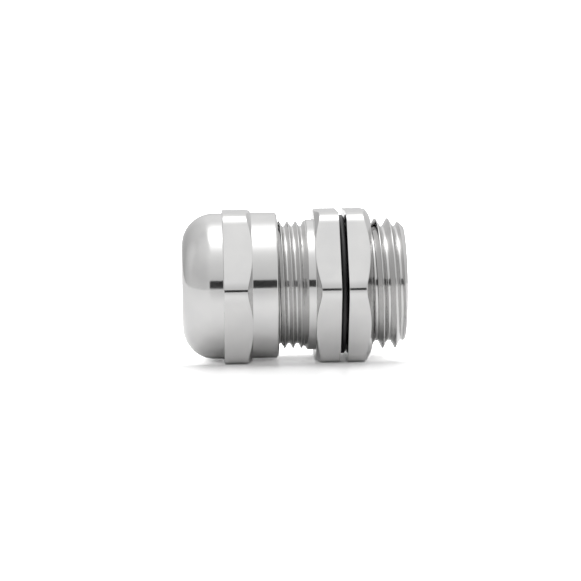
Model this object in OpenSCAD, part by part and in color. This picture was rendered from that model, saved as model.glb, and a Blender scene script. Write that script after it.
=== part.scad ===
// Metric cable gland, M16 x 1.5: gland body, dome nut, clamping cage with its claws,
// seal, O-ring and locknut.
// The axis is X. The entry thread points along +X and the dome nut along -X.
// X = 0 is the sealing face of the body's hexagon. Z is up, and each hexagon has a flat facing down.

/* [Hexagons] */
// Width across the flats of the body, the dome nut and the locknut
across_flats = 18; // [17.9:0.1:18.4]
// Diameter of the round bar that the hexagons are cut from
bar_d = 20.1; // [20:0.1:20.7]
// Diameter of the flat face that a chamfer leaves on a hexagon
chamfer_face_d = 18.1; // [18:0.1:19]
// Angle between that face and its chamfer
chamfer_angle = 30; // [20:5:35]

/* [Gland body] */
// Width of the body's hexagon along the axis
body_hex_w = 2.9; // [2.6:0.1:3]
// Width of the plain shoulder between the hexagon and the connection thread
shoulder_w = 1.1; // [0.8:0.1:1.2]
// Outside diameter of the shoulder
shoulder_d = 15.76; // [15.5:0.02:15.8]
// Outside diameter of the connection thread
connection_d = 15.5; // [15.4:0.02:15.6]
// Pitch of the connection thread
connection_pitch = 1; // [0.75:0.25:1]
// Length of the connection end, from its mouth to the shoulder
connection_l = 6.2; // [6:0.1:6.4]
// Bore that the cable passes through
cable_bore_d = 11.2; // [10.6:0.1:11.4]
// Socket in the connection end, which the clamping cage turns in
socket_d = 12.9; // [12.9:0.05:13]
// Depth of that socket
socket_depth = 4.7; // [4.6:0.1:5]

/* [Entry thread] */
// Outside diameter of the entry thread
entry_d = 15.8; // [15.6:0.05:15.95]
// Pitch of the entry thread
entry_pitch = 1.5; // [1:0.25:1.5]
// Length of the entry end, from the sealing face to the end face
entry_l = 8; // [7.7:0.1:9]
// Width of the undercut that the O-ring lies in
undercut_w = 1.3; // [1:0.1:1.3]
// Diameter of that undercut
undercut_d = 13.76; // [13.6:0.02:13.8]

/* [O-ring and locknut] */
// Squeezed width of the O-ring along the axis
o_ring_w = 0.82; // [0.7:0.02:0.82]
// Inside diameter of the O-ring
o_ring_id = 13.84; // [13.84:0.02:13.9]
// Outside diameter of the O-ring
o_ring_od = 16.8; // [16:0.1:17]
// Gap between the sealing face and the locknut
panel_gap = 0.86; // [0.86:0.02:1]
// Thickness of the locknut
locknut_w = 3.04; // [2.8:0.02:3.2]
// Diameter of the flat face that the locknut's deeper chamfer leaves
locknut_face_d = 16.6; // [16.6:0.1:18]

/* [Dome nut] */
// Space between the nut's collar and the body's shoulder
nut_gap = 3.25; // [3.25:0.05:3.8]
// Width of the nut's collar along the axis
collar_w = 3.18; // [2.8:0.02:3.2]
// Width of the nut's hexagon
nut_hex_w = 3.39; // [3.2:0.05:3.6]
// Length of the domed front, from the hexagon to the tip
dome_l = 4.93; // [4.8:0.05:5.1]
// Outside diameter of the collar and the dome
collar_d = 17.6; // [17.3:0.1:17.8]
// Radius of the dome's rounded edge
dome_r = 3.9; // [3.6:0.1:4]
// Cable hole in the dome
cable_hole_d = 9.4; // [9:0.1:9.8]
// Clearance diameter of the nut's inside over the connection thread
nut_bore_d = 16; // [15.95:0.05:16.1]

/* [Clamping cage] */
// Number of claws
claw_count = 10; // [8:1:10]
// Length of a claw, from its hinge to its tip
claw_l = 3.8; // [3.4:0.1:3.8]
// Outside diameter of the cage and its claws
cage_d = 12.76; // [12.7:0.02:12.8]
// Inside diameter of the cage and its claws
cage_id = 10.9; // [10.7:0.1:10.9]
// Width of the slot between two claws at their roots
claw_slot_w = 0.4; // [0.3:0.05:0.6]
// Angle at which each side of a claw narrows towards its tip
claw_taper = 5.6; // [5:0.1:7]
// Diameter of the lip that stops the seal
cage_lip_d = 9.9; // [9:0.1:10]

/* [Seal] */
// Length of the seal
seal_l = 6.6; // [6:0.1:6.6]
// Outside diameter of the seal
seal_d = 10.8; // [10.4:0.1:10.8]
// Relaxed bore of the seal
seal_bore_d = 8.2; // [7:0.1:9]

/* [Hidden] */
$fn = 96;
CREST_SHARE = 1/8;       // part of a pitch that a thread's crest takes up
ROOT_SHARE = 1/8;        // part of a pitch that a thread's root takes up
FLANK_ANGLE = 30;        // slope of a thread's flanks from square to the axis
EDGE = 0.25;             // small turned chamfer on outside edges
BORE_EDGE = 0.4;         // chamfer at the mouth of a bore
THREAD_LEAD = 0.5;       // plain lead at the start of a thread
CAGE_GAP = 0.1;          // clearance behind the cage in its socket
HINGE_GAP = 0.05;        // clearance between a claw's root and the cage
CONE_SLOPE = 0.5;        // rise of the clamping cone in the dome nut over its run
CONE_STEP = 0.3;         // step from the cable hole out to the narrow end of the clamping cone
CONE_ROOM = 0.47;        // room between the cage and the wide end of the cone
CONE_AHEAD = 0.2;        // distance from the claws' tips to the wide end of the cone
LIP_W = 1.5;             // width of the lip that stops the seal
HAIR = 0.001;            // how far a chamfer's cut runs past a face
OVER = 1;                // how far a cut runs past the material
BIG = 12;                // larger than any claw

body_hex_x = -body_hex_w;
shoulder_x = body_hex_x - shoulder_w;
mouth_x = shoulder_x - connection_l;
socket_x = mouth_x + socket_depth;
undercut_x = undercut_w;

collar_x1 = shoulder_x - nut_gap;
collar_x0 = collar_x1 - collar_w;
nut_hex_x0 = collar_x0 - nut_hex_w;
dome_tip_x = nut_hex_x0 - dome_l;
tip_x = mouth_x - claw_l;

cone_r1 = cage_d/2 + CONE_ROOM;
cone_x1 = tip_x - CONE_AHEAD;
cone_r0 = cable_hole_d/2 + CONE_STEP;
cone_x0 = cone_x1 - (cone_r1 - cone_r0)/CONE_SLOPE;

lip_x = socket_x - CAGE_GAP - LIP_W;
seal_x1 = lip_x;
seal_x0 = seal_x1 - seal_l;
pivot_r = cage_id/2;
claw_step = 360/claw_count;

function claw_name(i) = str("claw_", i < 10 ? "0" : "", i);

// Depth of a thread's groove for its pitch
function thread_depth(pitch) = pitch*(1 - CREST_SHARE - ROOT_SHARE)/2/tan(FLANK_ANGLE);

// Outline of count ridges as [radius, x] points, from x0 along +X
function ridges(x0, count, crest_r, pitch) =
    let (crest = pitch*CREST_SHARE/2,
         foot = crest + thread_depth(pitch)*tan(FLANK_ANGLE),
         root_r = crest_r - thread_depth(pitch))
    [for (k = [0 : count - 1])
        let (mid = x0 + (k + 0.5)*pitch)
        each [[root_r, mid - foot], [crest_r, mid - crest], [crest_r, mid + crest], [root_r, mid + foot]]];

// Turns an outline of [radius, x] points about the X axis
module turned() {
    rotate([0, 90, 0]) rotate_extrude() children();
}

// Straight round hole along X
module hole(d, x0, x1) {
    translate([x0, 0, 0]) rotate([0, 90, 0]) cylinder(d = d, h = x1 - x0);
}

// Conical hole along X
module cone_hole(d0, d1, x0, x1) {
    translate([x0, 0, 0]) rotate([0, 90, 0]) cylinder(d1 = d0, d2 = d1, h = x1 - x0);
}

// Hexagon from x0 to x1 with a flat facing down, cut from round bar;
// left and right say which faces are chamfered, down to face_d across
module hexagon(x0, x1, left = false, right = false, face_d = chamfer_face_d) {
    cut = (bar_d - face_d)/2*tan(chamfer_angle);
    face_r = face_d/2;
    bar_r = bar_d/2;
    intersection() {
        translate([x0, 0, 0])
            rotate([0, 90, 0])
                rotate([0, 0, 30])
                    cylinder(d = across_flats/cos(30), h = x1 - x0, $fn = 6);
        turned()
            polygon([
                [0, x0],
                [left ? face_r : bar_r, x0],
                [bar_r, left ? x0 + cut : x0],
                [bar_r, right ? x1 - cut : x1],
                [right ? face_r : bar_r, x1],
                [0, x1]
            ]);
    }
}

module connection_end() {
    root_r = connection_d/2 - thread_depth(connection_pitch);
    count = floor((connection_l - THREAD_LEAD)/connection_pitch);
    turned()
        polygon(concat(
            [[0, mouth_x], [root_r - EDGE, mouth_x], [root_r, mouth_x + EDGE]],
            ridges(mouth_x + THREAD_LEAD, count, connection_d/2, connection_pitch),
            [
                [root_r, shoulder_x - EDGE],
                [shoulder_d/2, shoulder_x],
                [shoulder_d/2, body_hex_x + OVER],
                [0, body_hex_x + OVER]
            ]
        ));
}

module entry_end() {
    root_r = entry_d/2 - thread_depth(entry_pitch);
    count = floor((entry_l - undercut_x - EDGE)/entry_pitch);
    turned()
        polygon(concat(
            [[0, -OVER], [undercut_d/2, -OVER], [undercut_d/2, undercut_x]],
            ridges(undercut_x, count, entry_d/2, entry_pitch),
            [[root_r, entry_l - EDGE], [root_r - EDGE, entry_l], [0, entry_l]]
        ));
}

module gland_body() {
    color("silver")
        difference() {
            union() {
                connection_end();
                hexagon(body_hex_x, 0, left = true);
                entry_end();
            }
            hole(socket_d, mouth_x - OVER, socket_x);
            hole(cable_bore_d, socket_x - OVER, entry_l + OVER);
            cone_hole(cable_bore_d, cable_bore_d + 2*BORE_EDGE, entry_l - BORE_EDGE, entry_l + HAIR);
        }
}

// Outline of the domed front and the collar, filled to the axis
module dome_outline() {
    r = collar_d/2;
    arc_x = dome_tip_x + dome_r;
    translate([0, dome_tip_x]) square([r - dome_r, dome_r]);
    translate([r - dome_r, arc_x]) circle(r = dome_r);
    polygon([[0, arc_x], [r, arc_x], [r, collar_x1 - EDGE], [r - EDGE, collar_x1], [0, collar_x1]]);
}

module dome_nut() {
    color("silver")
        difference() {
            union() {
                turned() dome_outline();
                hexagon(nut_hex_x0, collar_x0, right = true);
            }
            hole(nut_bore_d, cone_x1, collar_x1 + OVER);
            cone_hole(2*cone_r0, 2*cone_r1, cone_x0, cone_x1);
            hole(cable_hole_d, dome_tip_x - OVER, cone_x0 + OVER);
            cone_hole(cable_hole_d + 2*EDGE, cable_hole_d, dome_tip_x - HAIR, dome_tip_x + EDGE);
        }
}

// Ring of the cage, which lies in the body's socket
module clamping_cage() {
    color("gainsboro")
        difference() {
            hole(cage_d, mouth_x, socket_x - CAGE_GAP);
            hole(cage_id, mouth_x - OVER, lip_x);
            hole(cage_lip_d, lip_x - OVER, socket_x);
        }
}

// One side of a claw: everything past the plane that trims it
module claw_side() {
    translate([mouth_x, 0, 0])
        rotate([-claw_step/2, 0, 0])
            translate([0, -claw_slot_w/2, 0])
                rotate([0, 0, claw_taper])
                    translate([-BIG, 0, -BIG]) cube([2*BIG, BIG, 2*BIG]);
}

// Claw i, counted round the axis from just past the top
module claw(i) {
    x1 = mouth_x - HINGE_GAP;
    color("gainsboro")
        rotate([(i - 0.5)*claw_step, 0, 0])
            difference() {
                turned()
                    polygon([
                        [pivot_r, x1],
                        [pivot_r, tip_x + EDGE],
                        [pivot_r + EDGE, tip_x],
                        [cage_d/2 - EDGE, tip_x],
                        [cage_d/2, tip_x + EDGE],
                        [cage_d/2, x1]
                    ]);
                claw_side();
                mirror([0, 1, 0]) claw_side();
                translate([tip_x - OVER, -BIG, -BIG]) cube([claw_l + 2*OVER, 2*BIG, BIG]);
            }
}

module seal() {
    color("dimgray")
        difference() {
            hole(seal_d, seal_x0, seal_x1);
            hole(seal_bore_d, seal_x0 - OVER, seal_x1 + OVER);
        }
}

module o_ring() {
    mid_x = panel_gap/2;
    round_r = o_ring_w/2;
    color("black")
        turned()
            union() {
                translate([o_ring_id/2, mid_x - round_r])
                    square([(o_ring_od - o_ring_id)/2 - round_r, o_ring_w]);
                translate([o_ring_od/2 - round_r, mid_x]) circle(r = round_r);
            }
}

module locknut() {
    x1 = panel_gap + locknut_w;
    bore = entry_d + 0.1;
    color("silver")
        difference() {
            hexagon(panel_gap, x1, right = true, face_d = locknut_face_d);
            hole(bore, panel_gap - OVER, x1 + OVER);
            cone_hole(bore + 2*EDGE, bore, panel_gap - HAIR, panel_gap + EDGE);
            cone_hole(bore, bore + 2*EDGE, x1 - EDGE, x1 + HAIR);
        }
}

gland_body();
dome_nut();
clamping_cage();
seal();
o_ring();
locknut();
for (i = [1 : claw_count]) {
    claw(i);
}
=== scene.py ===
import math

import bmesh
import bpy
import numpy as np
from mathutils import Matrix, Vector

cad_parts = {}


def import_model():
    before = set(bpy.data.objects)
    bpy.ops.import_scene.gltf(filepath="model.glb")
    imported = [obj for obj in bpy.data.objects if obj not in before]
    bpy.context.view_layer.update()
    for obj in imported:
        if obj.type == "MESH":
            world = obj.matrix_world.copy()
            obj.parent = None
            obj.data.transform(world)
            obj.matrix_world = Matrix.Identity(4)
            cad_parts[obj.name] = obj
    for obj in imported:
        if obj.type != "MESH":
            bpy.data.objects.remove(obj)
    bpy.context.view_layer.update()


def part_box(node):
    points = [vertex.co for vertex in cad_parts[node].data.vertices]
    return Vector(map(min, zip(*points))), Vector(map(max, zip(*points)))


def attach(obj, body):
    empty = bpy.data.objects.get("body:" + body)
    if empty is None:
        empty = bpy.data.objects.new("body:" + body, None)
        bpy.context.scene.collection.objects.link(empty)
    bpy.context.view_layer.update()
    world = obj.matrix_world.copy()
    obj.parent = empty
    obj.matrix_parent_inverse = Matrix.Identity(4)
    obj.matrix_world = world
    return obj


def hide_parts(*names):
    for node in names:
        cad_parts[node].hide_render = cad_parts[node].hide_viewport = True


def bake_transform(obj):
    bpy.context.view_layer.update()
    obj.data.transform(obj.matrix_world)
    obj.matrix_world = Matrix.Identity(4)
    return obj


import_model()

# A metric cable gland in nickel-plated brass. Sizes are in millimetres until a mesh is made.
# Everything lies round the X axis. Angle 0 is straight up, and 90 degrees faces -Y.
MM = 0.001


def span(node):
    """Where a CAD node starts and ends along X."""
    low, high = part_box(node)
    return low.x / MM, high.x / MM


MOUTH_X, END_X = span("gland_body")
TIP_X, COLLAR_X1 = span("dome_nut")
LOCKNUT_X0, LOCKNUT_X1 = span("locknut")
RING_X0, RING_X1 = span("o_ring")
CAGE_X0, CAGE_X1 = span("clamping_cage")
SEAL_X0, SEAL_X1 = span("seal")
FLAT_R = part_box("gland_body")[1].z / MM
CORNER_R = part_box("gland_body")[1].y / MM
RING_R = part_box("o_ring")[1].z / MM
CAGE_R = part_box("clamping_cage")[1].z / MM
SEAL_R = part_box("seal")[1].z / MM

# Gland body
HEX_X0 = -2.9
SHOULDER_X0 = -3.75
SHOULDER_R = 7.88
SOCKET_R = 6.45
SOCKET_X = -5.5
CABLE_R = 5.6
UNDERCUT_X = 1.3
UNDERCUT_R = 6.88
# Threads: crest radius, root radius, pitch, and where a crest passes straight over the axis
CONNECTION = {"crest": 7.75, "root": 7.1, "pitch": 1.0, "crest_x": -4.96}
ENTRY = {"crest": 7.9, "root": 6.93, "pitch": 1.5, "crest_x": 4.64}
NUT_CLEARANCE = 0.07
# Dome nut
COLLAR_L = 3.18
NUT_HEX_W = 3.39
NUT_HEX_X1 = COLLAR_X1 - COLLAR_L
NUT_HEX_X0 = NUT_HEX_X1 - NUT_HEX_W
COLLAR_R = 8.8
DOME_R = 3.9
HOLE_R = 4.7
# Hexagon chamfers
CHAMFER_FACE_R = 9.05
LOCKNUT_FACE_R = 8.3
CHAMFER_SLOPE = math.tan(math.radians(30))
# Cage, claws and seal
CLAWS = 10
CLAW_STEP = 360 / CLAWS
CLAW_L = 3.8
CLAW_TIP_X = MOUTH_X - CLAW_L
CAGE_INNER_R = 5.45
CAGE_LIP_R = 4.95
CAGE_LIP_X = -7.1
SEAL_INNER_R = 4.1
# The cone inside the dome nut, which closes the claws
CONE_STEP = 0.3
CONE_ROOM = 0.47
CONE_AHEAD = 0.2
CONE_SLOPE = 0.5
CONE_R0 = HOLE_R + CONE_STEP
CONE_R1 = CAGE_R + CONE_ROOM
CONE_X1 = CLAW_TIP_X - CONE_AHEAD
CONE_X0 = CONE_X1 - (CONE_R1 - CONE_R0) / CONE_SLOPE
# Edges: how far a broken edge reaches, the least bend that is softened, and the least that shades sharp
EDGE = 0.06
LEAST_BEND = math.radians(14)
SHARP = math.radians(26)
# Points closer than this are joined
WELD = 0.0002


# ---------------------------------------------------------------- surfaces round the axis

# Degrees from corner to corner of a hexagon, half of that, and the columns' angles from a corner
CORNER_STEP = 60
HALF_STEP = 30
FILLET_DEGREES = [0, 1.05, 2.1, 3.2, 4.3, 5.4, 6.5, 7.5, 9]
FLAT_DEGREES = [12, 15, 18, 21, 24, 27]


def columns():
    """Angles of the mesh's columns, close together at the corners of a hexagon."""
    one_side = FILLET_DEGREES + FLAT_DEGREES
    around = sorted({-d for d in one_side} | set(one_side)) + [HALF_STEP]
    return np.array([HALF_STEP + CORNER_STEP * corner + d for corner in range(6) for d in around])


DEGREES = columns()
TURN = np.radians(DEGREES)


def hexagon_radius():
    """Radius of a hexagon with rounded corners, at each column."""
    cos30 = math.cos(math.pi / 6)
    corner = FLAT_R / cos30
    fillet = (corner - CORNER_R) / (1 / cos30 - 1)
    centre = corner - fillet / cos30
    away = np.radians(np.abs(DEGREES % CORNER_STEP - HALF_STEP))
    flat = FLAT_R / np.cos(math.pi / 6 - away)
    arc = centre * np.cos(away) + np.sqrt(np.maximum(fillet**2 - (centre * np.sin(away)) ** 2, 0))
    meets = math.atan2(fillet / 2, centre + fillet * cos30)
    return np.where(away < meets, arc, flat)


HEX_R = hexagon_radius()


def outline(*stations):
    """Turns stations (x, r) or (x, r, material) into (grid, materials). x and r may differ by column."""
    grid = np.zeros((len(stations), len(TURN), 2))
    for row, station in zip(grid, stations):
        row[:, 0], row[:, 1] = station[0], station[1]
    return grid, [s[2] if len(s) > 2 else 0 for s in stations]


def soften(path, size=EDGE):
    """Replaces each corner of an outline with a small rounded edge, with a support row on each side."""
    edge_share, support_share = 0.3, 0.4
    grid, materials = path
    rows, kinds = [grid[0]], []
    for before, here, after, kind, next_kind in zip(grid, grid[1:], grid[2:], materials, materials[1:]):
        back, on = before - here, after - here
        back_l = np.linalg.norm(back, axis=1, keepdims=True)
        on_l = np.linalg.norm(on, axis=1, keepdims=True)
        back_u = back / np.maximum(back_l, 1e-9)
        on_u = on / np.maximum(on_l, 1e-9)
        bend = np.pi - np.arccos(np.clip((back_u * on_u).sum(1), -1, 1))
        bend = bend[(back_l[:, 0] > 1e-6) & (on_l[:, 0] > 1e-6)]
        kinds.append(kind)
        if not len(bend) or bend.max() < LEAST_BEND:
            rows.append(here)
            continue
        a = here + back_u * np.minimum(size, edge_share * back_l)
        b = here + on_u * np.minimum(size, edge_share * on_l)
        support_a = here + back_u * np.minimum(2 * size, support_share * back_l)
        support_b = here + on_u * np.minimum(2 * size, support_share * on_l)
        middle = (a + b) * 0.25 + here * 0.5
        rows += [support_a, a, middle, b, support_b]
        kinds += [kind, 0, 0, next_kind]
    return np.array(rows + [grid[-1]]), kinds + [materials[-2]]


# Half the outline of one thread: share of the pitch from the crest, and share of the depth left standing
RIDGE = [
    (0, 1), (0.015, 1), (0.035, 0.985), (0.055, 0.95), (0.22, 0.5), (0.39, 0.05), (0.41, 0.015), (0.43, 0),
]


def thread(kind, x0, x1, clip, grow=0.0):
    """Rows of a right-hand thread from x0 to x1, and how many make a turn.

    clip(x, r) trims the radius, and makes it the same all round at each end.
    """
    ridge = RIDGE + [(0.5, 0)] + [(1 - share, height) for share, height in reversed(RIDGE[1:])]
    first = math.floor((x0 - kind["crest_x"]) / kind["pitch"]) - 2
    last = math.ceil((x1 - kind["crest_x"]) / kind["pitch"]) + 1
    rows = []
    for number in range(first, last + 1):
        for share, height in ridge:
            x = kind["crest_x"] + kind["pitch"] * (number + share + TURN / (2 * np.pi))
            x = np.clip(x, x0, x1)
            r = kind["root"] + height * (kind["crest"] - kind["root"]) + grow
            rows.append(np.stack([x, clip(x, np.full_like(x, r))], axis=1))
    return np.array(rows), len(ridge)


class Skin:
    """A closed surface round the axis, put together from grids that share their end circles."""

    def __init__(self, name):
        self.name = name
        self.bm = bmesh.new()

    def add(self, grid, materials, shift=0):
        """Joins the rows of a grid. The last column meets the first one, shift rows further on."""
        points = [
            [
                self.bm.verts.new((x * MM, -r * math.sin(t) * MM, r * math.cos(t) * MM))
                for (x, r), t in zip(row, TURN)
            ]
            for row in grid
        ]
        rows, width = len(grid), len(TURN)
        for j in range(rows - 1):
            for i in range(width):
                right, down = (i + 1, 0) if i + 1 < width else (0, shift)
                if j + 1 + down >= rows:
                    continue
                face = self.bm.faces.new(
                    (points[j][i], points[j + down][right], points[j + 1 + down][right], points[j + 1][i])
                )
                face.material_index = materials[j]
        return self

    def path(self, *stations, size=EDGE):
        """Adds an outline turned round the axis, with its corners softened."""
        return self.add(*soften(outline(*stations), size))

    def screw(self, kind, x0, x1, clip, grow=0.0):
        """Adds a length of thread."""
        grid, shift = thread(kind, x0, x1, clip, grow)
        return self.add(grid, [CUT] * len(grid), shift)

    def finish(self, *materials):
        return finish_mesh(self.name, self.bm, *materials)


def finish_mesh(name, bm, *materials):
    """Welds, orients and shades a mesh, and makes its object."""
    bmesh.ops.remove_doubles(bm, verts=bm.verts, dist=WELD * MM)
    bmesh.ops.recalc_face_normals(bm, faces=bm.faces)
    mesh = bpy.data.meshes.new(name)
    bm.to_mesh(mesh)
    bm.free()
    mesh.shade_smooth()
    mesh.set_sharp_from_angle(angle=SHARP)
    for material in materials:
        mesh.materials.append(material)
    obj = bpy.data.objects.new(name, mesh)
    bpy.context.scene.collection.objects.link(obj)
    return obj


def chamfered(x_face, inward, face_r=CHAMFER_FACE_R):
    """The two stations of a hexagon's chamfer: on the flats, and on the face. inward is +1 or -1 along X."""
    on_flats = x_face + inward * np.maximum(HEX_R - face_r, 0) * CHAMFER_SLOPE
    return (on_flats, HEX_R), (x_face, np.minimum(HEX_R, face_r))


# ---------------------------------------------------------------- sectors: claws and seal

def sector(number, xs, inner, outer, half_angle):
    """A closed piece between two radii, centred on one of the claws' directions."""
    width = 7
    middle = math.radians((number - 0.5) * CLAW_STEP)
    bm = bmesh.new()
    loops = []
    for x in xs:
        loop = []
        for r, way in ((inner(x), 1), (outer(x), -1)):
            for share in np.linspace(-1, 1, width):
                t = middle + way * share * half_angle(x, r)
                loop.append(bm.verts.new((x * MM, -r * math.sin(t) * MM, r * math.cos(t) * MM)))
        loops.append(loop)
    count = 2 * width
    for a, b in zip(loops, loops[1:]):
        for i in range(count):
            bm.faces.new((a[i], a[(i + 1) % count], b[(i + 1) % count], b[i]))
    for end in (loops[0], loops[-1]):
        for i in range(width - 1):
            bm.faces.new((end[i], end[i + 1], end[count - 2 - i], end[count - 1 - i]))
    return bm


# ---------------------------------------------------------------- materials

# Where a noise node's usual values start and end
NOISE_LOW, NOISE_HIGH = 0.3, 0.7


def node_material(name, base, roughness, metallic=0.0, specular=0.5):
    """A material with its constants on the shader's own sockets, its node tree and its shader."""
    material = bpy.data.materials.new(name)
    material.use_nodes = True
    shader = material.node_tree.nodes["Principled BSDF"]
    shader.inputs["Base Color"].default_value = (*base, 1)
    shader.inputs["Roughness"].default_value = roughness
    shader.inputs["Metallic"].default_value = metallic
    shader.inputs["Specular IOR Level"].default_value = specular
    return material, material.node_tree, shader


def stretched_noise(tree, scale, detail=3.0):
    """Noise in the object's own space, stretched by a scale for each axis."""
    place = tree.nodes.new("ShaderNodeTexCoord")
    mapping = tree.nodes.new("ShaderNodeMapping")
    mapping.inputs["Scale"].default_value = scale
    noise = tree.nodes.new("ShaderNodeTexNoise")
    noise.inputs["Scale"].default_value = 1.0
    noise.inputs["Detail"].default_value = detail
    tree.links.new(place.outputs["Object"], mapping.inputs["Vector"])
    tree.links.new(mapping.outputs["Vector"], noise.inputs["Vector"])
    return noise


def to_range(tree, source, low, high):
    """Maps a noise's usual spread onto low to high."""
    spread = tree.nodes.new("ShaderNodeMapRange")
    spread.inputs["From Min"].default_value = NOISE_LOW
    spread.inputs["From Max"].default_value = NOISE_HIGH
    spread.inputs["To Min"].default_value = low
    spread.inputs["To Max"].default_value = high
    tree.links.new(source, spread.inputs["Value"])
    return spread.outputs["Result"]


def tint(tree, shader, source, dark, light):
    """Varies the base colour between two tones."""
    ramp = tree.nodes.new("ShaderNodeValToRGB")
    ramp.color_ramp.elements[0].position = NOISE_LOW
    ramp.color_ramp.elements[0].color = (*dark, 1)
    ramp.color_ramp.elements[1].position = NOISE_HIGH
    ramp.color_ramp.elements[1].color = (*light, 1)
    tree.links.new(source, ramp.inputs["Fac"])
    tree.links.new(ramp.outputs["Color"], shader.inputs["Base Color"])


def add_bump(tree, shader, sources, distance):
    """Chains bumps, one for each (height, strength)."""
    normal = None
    for height, strength in sources:
        bump = tree.nodes.new("ShaderNodeBump")
        bump.inputs["Strength"].default_value = strength
        bump.inputs["Distance"].default_value = distance
        tree.links.new(height, bump.inputs["Height"])
        if normal:
            tree.links.new(normal, bump.inputs["Normal"])
        normal = bump.outputs["Normal"]
    tree.links.new(normal, shader.inputs["Normal"])


def nickel(name, grain, roughness, relief):
    """Bright nickel plate. grain is the tool marks' scale along X, Y and Z, and relief their strength."""
    material, tree, shader = node_material(name, (0.58, 0.577, 0.573), 0.12, metallic=1.0)
    marks = stretched_noise(tree, grain, 2.0).outputs["Fac"]
    cloud = stretched_noise(tree, (350, 350, 350), 3.0).outputs["Fac"]
    tree.links.new(to_range(tree, cloud, *roughness), shader.inputs["Roughness"])
    tint(tree, shader, cloud, (0.56, 0.558, 0.557), (0.60, 0.597, 0.592))
    add_bump(tree, shader, [(marks, relief), (cloud, 0.1)], 0.01 * MM)
    return material


def rubber(name, base, roughness, relief):
    """Dark moulded rubber with a fine skin and a cloudy gloss."""
    material, tree, shader = node_material(name, base, 0.5, specular=0.45)
    skin = stretched_noise(tree, (9000, 9000, 9000), 4.0).outputs["Fac"]
    cloud = stretched_noise(tree, (500, 500, 500), 2.0).outputs["Fac"]
    tree.links.new(to_range(tree, cloud, *roughness), shader.inputs["Roughness"])
    tint(tree, shader, cloud, tuple(0.7 * c for c in base), tuple(1.3 * c for c in base))
    add_bump(tree, shader, [(skin, relief)], 0.02 * MM)
    return material


def polyamide():
    """Natural polyamide, slightly see-through and matt."""
    material, tree, shader = node_material("natural_polyamide", (0.78, 0.76, 0.70), 0.42)
    shader.inputs["Subsurface Weight"].default_value = 0.15
    shader.inputs["Subsurface Radius"].default_value = (0.0012, 0.001, 0.0008)
    cloud = stretched_noise(tree, (700, 700, 700), 3.0).outputs["Fac"]
    skin = stretched_noise(tree, (12000, 12000, 12000), 2.0).outputs["Fac"]
    tree.links.new(to_range(tree, cloud, 0.36, 0.5), shader.inputs["Roughness"])
    tint(tree, shader, cloud, (0.74, 0.72, 0.655), (0.81, 0.79, 0.73))
    add_bump(tree, shader, [(skin, 0.2)], 0.01 * MM)
    return material


PLATE_ROUGHNESS = (0.08, 0.13)
TURNED = nickel("nickel_turned", (9000, 120, 120), PLATE_ROUGHNESS, 0.25)
DRAWN = nickel("nickel_drawn_flats", (150, 4000, 4000), PLATE_ROUGHNESS, 0.12)
THREADED = nickel("nickel_cut_thread", (2500, 120, 120), PLATE_ROUGHNESS, 0.05)
O_RING_RUBBER = rubber("o_ring_rubber", (0.012, 0.012, 0.013), (0.32, 0.45), 0.15)
SEAL_RUBBER = rubber("seal_rubber", (0.02, 0.02, 0.021), (0.5, 0.65), 0.3)
PLASTIC = polyamide()
# Material slots of a nickel piece. Slot 0 is TURNED
FLATS, CUT = 1, 2


# ---------------------------------------------------------------- pieces

def gland_body():
    """Thread, shoulder, hexagon and entry thread, round a bore with a socket for the cage."""
    skin = Skin("gland_body_turned")
    lead_in_depth, end_depth = 0.2, 0.03
    lead_in_slope, run_out_slope, undercut_slope = 1.5, 1.3, 1.7
    bore_chamfer, socket_chamfer = 0.35, 0.15
    lead_r = CONNECTION["root"] - lead_in_depth
    end_r = ENTRY["root"] - end_depth
    on_flats, on_face = chamfered(HEX_X0, 1)

    def connection_clip(x, r):
        lead_in = lead_r + (x - MOUTH_X) * lead_in_slope
        run_out = SHOULDER_R - (SHOULDER_X0 - x) * run_out_slope
        return np.minimum(np.maximum(r, run_out), lead_in)

    def entry_clip(x, r):
        undercut = UNDERCUT_R + (x - UNDERCUT_X) * undercut_slope
        end_chamfer = end_r + (END_X - x)
        return np.minimum(r, np.minimum(undercut, end_chamfer))

    skin.screw(CONNECTION, MOUTH_X, SHOULDER_X0, connection_clip)
    skin.path(
        (SHOULDER_X0, SHOULDER_R), (HEX_X0, SHOULDER_R), on_face, (*on_flats, FLATS),
        (0, HEX_R), (0, UNDERCUT_R, CUT), (UNDERCUT_X, UNDERCUT_R),
    )
    skin.screw(ENTRY, UNDERCUT_X, END_X, entry_clip)
    skin.path(
        (END_X, end_r), (END_X, CABLE_R + bore_chamfer), (END_X - bore_chamfer, CABLE_R),
        (SOCKET_X, CABLE_R), (SOCKET_X, SOCKET_R), (MOUTH_X + socket_chamfer, SOCKET_R),
        (MOUTH_X, SOCKET_R + socket_chamfer), (MOUTH_X, lead_r),
    )
    return skin.finish(TURNED, DRAWN, THREADED)


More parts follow.
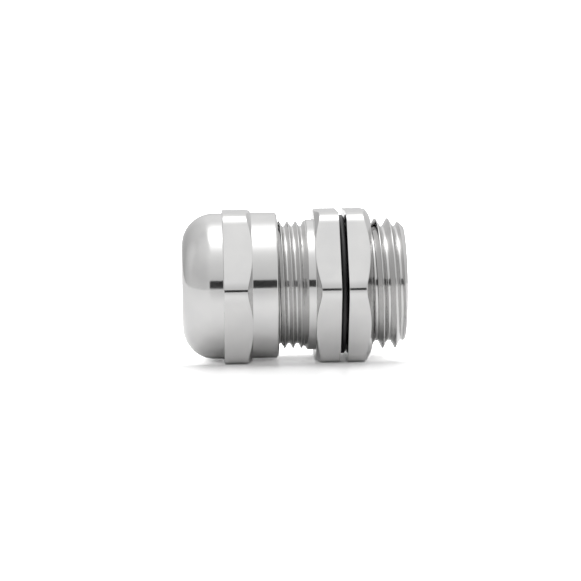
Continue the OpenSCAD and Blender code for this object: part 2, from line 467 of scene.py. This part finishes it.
def dome_nut():
    """The nut: a rounded dome, a hexagon and a collar outside, and a thread and the cone inside."""
    skin = Skin("dome_nut_turned")
    arc_x, arc_r = TIP_X + DOME_R, COLLAR_R - DOME_R
    arc = [
        (arc_x - DOME_R * math.cos(t), arc_r + DOME_R * math.sin(t))
        for t in np.radians(np.linspace(4.5, 90, 20))
    ]
    on_flats, on_face = chamfered(NUT_HEX_X1, -1)
    rim_x, rim_r = TIP_X + 0.05, HOLE_R + 0.08
    hole_x, crown_r = TIP_X + 0.3, arc_r + 0.06
    relief_x, relief_r = CONE_X1 + 0.2, CONNECTION["crest"] + 0.15
    mouth_x, mouth_r = COLLAR_X1 - 0.35, SHOULDER_R + 0.12
    end_slope, collar_chamfer = 1.2, 0.25

    def clip(x, r):
        lead_in = mouth_r - np.maximum(mouth_x - x, 0) * end_slope
        relief = relief_r - (x - relief_x) * end_slope
        return np.maximum(r, np.maximum(lead_in, relief))

    skin.path(
        (hole_x, HOLE_R), (rim_x, rim_r), (TIP_X, crown_r), *arc, (NUT_HEX_X0, COLLAR_R),
        (NUT_HEX_X0, HEX_R, FLATS), on_flats, on_face, (NUT_HEX_X1, COLLAR_R),
        (COLLAR_X1 - collar_chamfer, COLLAR_R), (COLLAR_X1, COLLAR_R - collar_chamfer), (COLLAR_X1, mouth_r),
    )
    skin.screw(CONNECTION, relief_x, COLLAR_X1, clip, NUT_CLEARANCE)
    skin.path(
        (relief_x, relief_r), (CONE_X1, relief_r), (CONE_X1, CONE_R1), (CONE_X0, CONE_R0),
        (CONE_X0, HOLE_R), (hole_x, HOLE_R),
    )
    return skin.finish(TURNED, DRAWN, THREADED)


def locknut():
    """The locknut: a hexagon with one chamfered face, and a thread with a countersink at each end."""
    skin = Skin("locknut_turned")
    on_flats, on_face = chamfered(LOCKNUT_X1, -1, LOCKNUT_FACE_R)
    mouth_r = ENTRY["crest"] + 0.3

    def clip(x, r):
        return np.maximum(r, mouth_r - np.minimum(x - LOCKNUT_X0, LOCKNUT_X1 - x))

    skin.path((LOCKNUT_X0, mouth_r), (LOCKNUT_X0, HEX_R, FLATS), on_flats, on_face, (LOCKNUT_X1, mouth_r))
    skin.screw(ENTRY, LOCKNUT_X0, LOCKNUT_X1, clip, NUT_CLEARANCE)
    return skin.finish(TURNED, DRAWN, THREADED)


def o_ring():
    """The squeezed ring: a flattened round section."""
    clearance, squareness, sides = 0.04, 2.6, 32
    half_w, half_h = (RING_X1 - RING_X0) / 2, (RING_R - UNDERCUT_R - clearance) / 2
    mid_x, mid_r = (RING_X0 + RING_X1) / 2, RING_R - half_h
    power = 2 / squareness
    stations = []
    for t in np.linspace(0, 2 * np.pi, sides + 1):
        c, s = math.cos(t), math.sin(t)
        stations.append((
            mid_x + half_w * math.copysign(abs(c) ** power, c),
            mid_r + half_h * math.copysign(abs(s) ** power, s),
        ))
    grid, materials = outline(*stations)
    return Skin("o_ring_rubber_ring").add(grid, materials).finish(O_RING_RUBBER)


def clamping_cage():
    """The cage's ring in the body's socket, with a lip inside behind the seal."""
    skin = Skin("clamping_cage_ring")
    start_x, chamfer = CAGE_X0 + 1, 0.3
    skin.path(
        (start_x, CAGE_R), (CAGE_X1 - chamfer, CAGE_R), (CAGE_X1, CAGE_R - chamfer), (CAGE_X1, CAGE_LIP_R),
        (CAGE_LIP_X, CAGE_LIP_R), (CAGE_LIP_X, CAGE_INNER_R), (CAGE_X0, CAGE_INNER_R), (CAGE_X0, CAGE_R),
        (start_x, CAGE_R), size=0.08,
    )
    return skin.finish(PLASTIC)


def claw(number):
    """One claw: a thin hinge at the root, a grooved inside and a rounded tip."""
    name = f"claw_{number:02d}_grip"
    slot, taper = 0.2, math.tan(math.radians(5.6))
    notch_w, notch_h = 0.7, 0.42
    groove_pitch, groove_h = 0.6, 0.06
    plain_root, plain_tip = 0.9, 0.3
    tip_round, tip_bevel = 0.35, 0.2
    past_notch = 0.05

    def outer(x):
        r = CAGE_R
        from_root, from_tip = MOUTH_X - x, x - CLAW_TIP_X
        if 0 < from_root < notch_w:
            r -= notch_h * math.sin(math.pi * from_root / notch_w)
        if from_tip < tip_round:
            r -= tip_round - math.sqrt(max(tip_round**2 - (tip_round - from_tip) ** 2, 0))
        return r

    def inner(x):
        from_root, from_tip = MOUTH_X - x, x - CLAW_TIP_X
        r = CAGE_INNER_R + max(0, tip_bevel - from_tip)
        if from_root > plain_root and from_tip > plain_tip:
            r += groove_h * max(0.0, math.sin(2 * math.pi * from_root / groove_pitch))
        return r

    def half_angle(x, r):
        return math.radians(CLAW_STEP / 2) - math.asin((slot + (MOUTH_X - x) * taper) / r)

    xs = np.concatenate([
        np.linspace(MOUTH_X, MOUTH_X - notch_w, 9),
        np.linspace(MOUTH_X - notch_w - past_notch, CLAW_TIP_X + tip_round, 32),
        CLAW_TIP_X + tip_round * (1 - np.sin(np.radians([15, 30, 45, 60, 75, 90]))),
    ])
    return finish_mesh(name, sector(number, xs, inner, outer, half_angle), PLASTIC)


def seal_lobe(number):
    """The seal under one claw. The lobes meet edge to edge."""
    name = f"seal_lobe_{number:02d}"
    rib_pitch, rib_h = 1.1, 0.09
    front_lip, back_lip = 0.5, 0.4
    front_bevel, bevel_slope = 0.3, 0.6

    def inner(x):
        from_front, from_back = x - SEAL_X0, SEAL_X1 - x
        lip = max(0.0, front_lip - from_front) + max(0.0, back_lip - from_back)
        rib = rib_h * (1 - math.cos(2 * math.pi * from_front / rib_pitch)) / 2
        return SEAL_INNER_R + lip + rib

    def outer(x):
        return SEAL_R - bevel_slope * max(0.0, front_bevel - (x - SEAL_X0))

    def half_angle(x, r):
        return math.radians(CLAW_STEP / 2)

    xs = np.linspace(SEAL_X0, SEAL_X1, 61)
    return finish_mesh(name, sector(number, xs, inner, outer, half_angle), SEAL_RUBBER)


def place(piece, body, node, slot):
    """Makes a rigid piece ride on a body and stand for a CAD node."""
    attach(piece, body)
    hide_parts(node)


place(gland_body(), "gland_body", "gland_body", "nickel_body")
place(dome_nut(), "dome_nut", "dome_nut", "nickel_nut")
place(locknut(), "locknut", "locknut", "nickel_locknut")
place(o_ring(), "o_ring", "o_ring", "o_ring_rubber")
place(clamping_cage(), "insert", "clamping_cage", "polyamide")

# Each claw and the seal lobe under it are made on the same sector, so they lie face to face
for number in range(1, CLAWS + 1):
    body = f"claw_{number:02d}"
    grip = claw(number)
    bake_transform(grip)
    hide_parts(body)
    lobe = seal_lobe(number)
    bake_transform(lobe)
    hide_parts("seal")


# ---------------------------------------------------------------- studio

FLOOR_Z = -FLAT_R * MM
CARD_Y = -0.34
# The room's light levels, each against one component of the direction: Z, or X for left and width
SKY = {
    "front": [(-1, 0.6), (0, 0.9), (0.26, 0.84), (0.54, 0.94), (0.67, 1.0), (0.79, 1.1), (1, 1.2)],
    "back": [(-1, 0.6), (0, 0.72), (0.17, 0.76), (0.34, 0.9), (0.55, 1.08), (0.78, 1.18), (1, 1.2)],
    "front_left": [(-1, 0.92), (-0.5, 0.92), (-0.25, 1), (1, 1)],
    "back_left": [(-1, 1.1), (-0.85, 0.95), (-0.7, 0.75), (-0.4, 0.8), (-0.15, 1), (1, 1)],
    "overhead": [
        (-1, 0), (0.79, 0), (0.85, 0.07), (0.875, 0.13), (0.9, 0.23), (0.95, 0.5), (0.98, 1.47), (1, 1.87),
    ],
    "overhead_width": [(-1, 0), (-0.30, 0), (-0.18, 1), (0.5, 1), (0.8, 0), (1, 0)],
}
# The room is all front below one value of the direction's Y, and all back above the other
FRONT_ENDS, BACK_STARTS = -0.15, 0.25
OVERHEAD_LIGHT = 1.5
# A light level is divided by this for its curve, which holds values up to 1
MOST_LIGHT = 2.0
# The floor's tone where it lights the object, and a lighter tone as the metal mirrors it, which paints
# brighter reflections on the metal's lower half
FLOOR_TONE, FLOOR_PAINTED_REFLECTION_TONE = 0.95, 1.02
# Its tone as the camera sees it, beyond the object and in front of it; the darker tone in front is painted
# shadow, laid over the real contact shadow there
FLOOR_BEYOND, FLOOR_PAINTED_SHADOW_TONE = 4.0, 1.2
# The room's light level as the camera sees it
SEEN_WHITE = 1.1


def stage_mesh(name, points, faces, tone, roughness):
    """A plain grey mesh that isn't part of the object."""
    mesh = bpy.data.meshes.new(name)
    mesh.from_pydata(points, [], faces)
    mesh.materials.append(node_material(name, (tone, tone, tone), roughness)[0])
    obj = bpy.data.objects.new(name, mesh)
    bpy.context.scene.collection.objects.link(obj)
    return obj


def floor_tone_with_painted_shadow(tree):
    """The floor's tone to the camera: white beyond the gland, and darker in front, which paints a shadow
    there on top of the real one.
    """
    place = tree.nodes.new("ShaderNodeTexCoord")
    split = tree.nodes.new("ShaderNodeSeparateXYZ")
    tree.links.new(place.outputs["Object"], split.inputs["Vector"])
    shown = tree.nodes.new("ShaderNodeMapRange")
    shown.inputs["From Min"].default_value = -FLAT_R * math.tan(math.pi / 6) * MM
    shown.inputs["From Max"].default_value = -MM
    shown.inputs["To Min"].default_value = FLOOR_PAINTED_SHADOW_TONE
    shown.inputs["To Max"].default_value = FLOOR_BEYOND
    tree.links.new(split.outputs["Y"], shown.inputs["Value"])
    return shown.outputs["Result"]


def floor():
    """A pale slab that the gland lies on, reaching past the card."""
    side, back, past_card, deep = 0.6, 0.7, 0.02, 0.004
    low, top = FLOOR_Z - deep, FLOOR_Z
    front = CARD_Y - past_card
    corners = [(-side, front), (side, front), (side, back), (-side, back)]
    points = [(a, b, low) for a, b in corners] + [(a, b, top) for a, b in corners]
    faces = [(3, 2, 1, 0), (4, 5, 6, 7), (0, 1, 5, 4), (1, 2, 6, 5), (2, 3, 7, 6), (3, 0, 4, 7)]
    obj = stage_mesh("studio_floor", points, faces, FLOOR_TONE, roughness=0.3)
    tree = obj.data.materials[0].node_tree
    seen = tree.nodes.new("ShaderNodeLightPath")
    # Painted reflection: glossy rays see the floor lighter than the light it gives the object
    painted_reflection_tone = blend_value(tree, seen.outputs["Is Glossy Ray"], FLOOR_TONE, FLOOR_PAINTED_REFLECTION_TONE)
    # Painted shadow: the camera sees the floor darker in front of the gland than beyond it
    tone = blend_value(tree, seen.outputs["Is Camera Ray"], painted_reflection_tone, floor_tone_with_painted_shadow(tree))
    tree.links.new(tone, tree.nodes["Principled BSDF"].inputs["Base Color"])


def card():
    """A dark card behind the camera, seen only in reflections."""
    half, low, high = 0.12, 0.0035, 0.083
    points = [(-half, CARD_Y, low), (half, CARD_Y, low), (half, CARD_Y, high), (-half, CARD_Y, high)]
    obj = stage_mesh("studio_card", points, [(0, 1, 2, 3)], tone=0.03, roughness=0.9)
    obj.visible_camera = False
    obj.visible_diffuse = False
    obj.visible_shadow = False


def tone_against(tree, source, tones):
    """A smooth light level against one component of the direction, which runs from -1 to 1."""
    curve = tree.nodes.new("ShaderNodeFloatCurve")
    curve.mapping.use_clip = False
    points = curve.mapping.curves[0].points
    for _ in tones[2:]:
        points.new(0.5, 0.5)
    for point, (at, tone) in zip(points, tones):
        point.location = ((at + 1) / 2, tone / MOST_LIGHT)
        point.handle_type = "VECTOR"
    curve.mapping.update()
    place = tree.nodes.new("ShaderNodeMapRange")
    place.inputs["From Min"].default_value = -1.0
    place.inputs["From Max"].default_value = 1.0
    tree.links.new(source, place.inputs["Value"])
    tree.links.new(place.outputs["Result"], curve.inputs["Value"])
    return combine(tree, "MULTIPLY", curve.outputs["Value"], MOST_LIGHT)


def combine(tree, operation, a, b):
    """A math node on two values, each a number or a socket."""
    node = tree.nodes.new("ShaderNodeMath")
    node.operation = operation
    for socket, value in zip(node.inputs, (a, b)):
        if isinstance(value, float):
            socket.default_value = value
        else:
            tree.links.new(value, socket)
    return node.outputs["Value"]


def blend_value(tree, factor, a, b):
    """a where factor is 0 and b where it is 1."""
    node = tree.nodes.new("ShaderNodeMix")
    for name, value in (("Factor", factor), ("A", a), ("B", b)):
        if isinstance(value, float):
            node.inputs[name].default_value = value
        else:
            tree.links.new(value, node.inputs[name])
    return node.outputs["Result"]


def world():
    """A pale room that changes from front to back, with a soft glow overhead. The camera sees plain white."""
    sky = bpy.data.worlds.new("studio")
    bpy.context.scene.world = sky
    sky.use_nodes = True
    tree = sky.node_tree
    tree.nodes.clear()
    place = tree.nodes.new("ShaderNodeTexCoord")
    split = tree.nodes.new("ShaderNodeSeparateXYZ")
    tree.links.new(place.outputs["Generated"], split.inputs["Vector"])
    x, y, z = (split.outputs[axis] for axis in "XYZ")
    behind = tree.nodes.new("ShaderNodeMapRange")
    behind.interpolation_type = "SMOOTHSTEP"
    behind.inputs["From Min"].default_value = FRONT_ENDS
    behind.inputs["From Max"].default_value = BACK_STARTS
    tree.links.new(y, behind.inputs["Value"])
    sides = []
    for side in ("front", "back"):
        upwards = tone_against(tree, z, SKY[side])
        across = tone_against(tree, x, SKY[side + "_left"])
        sides.append(combine(tree, "MULTIPLY", upwards, across))
    walls = blend_value(tree, behind.outputs["Result"], *sides)
    overhead = combine(tree, "MULTIPLY", tone_against(tree, z, SKY["overhead"]), OVERHEAD_LIGHT)
    width = tone_against(tree, x, SKY["overhead_width"])
    light = combine(tree, "ADD", walls, combine(tree, "MULTIPLY", overhead, width))
    seen = tree.nodes.new("ShaderNodeLightPath")
    light = blend_value(tree, seen.outputs["Is Camera Ray"], light, SEEN_WHITE)
    glow = tree.nodes.new("ShaderNodeBackground")
    tree.links.new(light, glow.inputs["Strength"])
    out = tree.nodes.new("ShaderNodeOutputWorld")
    tree.links.new(glow.outputs["Background"], out.inputs["Surface"])
    glow.inputs["Color"].default_value = (1, 1, 1, 1)


def camera():
    """Looks at the near side from a little above and to the left of square on."""
    target = Vector((-5.66, 0, -0.7)) * MM
    distance, yaw, pitch, roll = 0.29, math.radians(2.3), math.radians(5.2), math.radians(0.8)
    ahead = Vector((math.sin(yaw) * math.cos(pitch), math.cos(yaw) * math.cos(pitch), -math.sin(pitch)))
    lens = bpy.data.cameras.new("camera")
    lens.lens = 148.6
    lens.sensor_width = 36
    lens.clip_start, lens.clip_end = 0.01, 10
    obj = bpy.data.objects.new("camera", lens)
    turn = ahead.to_track_quat("-Z", "Y").to_matrix() @ Matrix.Rotation(-roll, 3, "Z")
    obj.matrix_world = Matrix.Translation(target - ahead * distance) @ turn.to_4x4()
    bpy.context.scene.collection.objects.link(obj)
    bpy.context.scene.camera = obj


floor()
card()
world()
camera()
bpy.context.scene.view_settings.view_transform = "Standard"
bpy.context.scene.view_settings.look = "None"
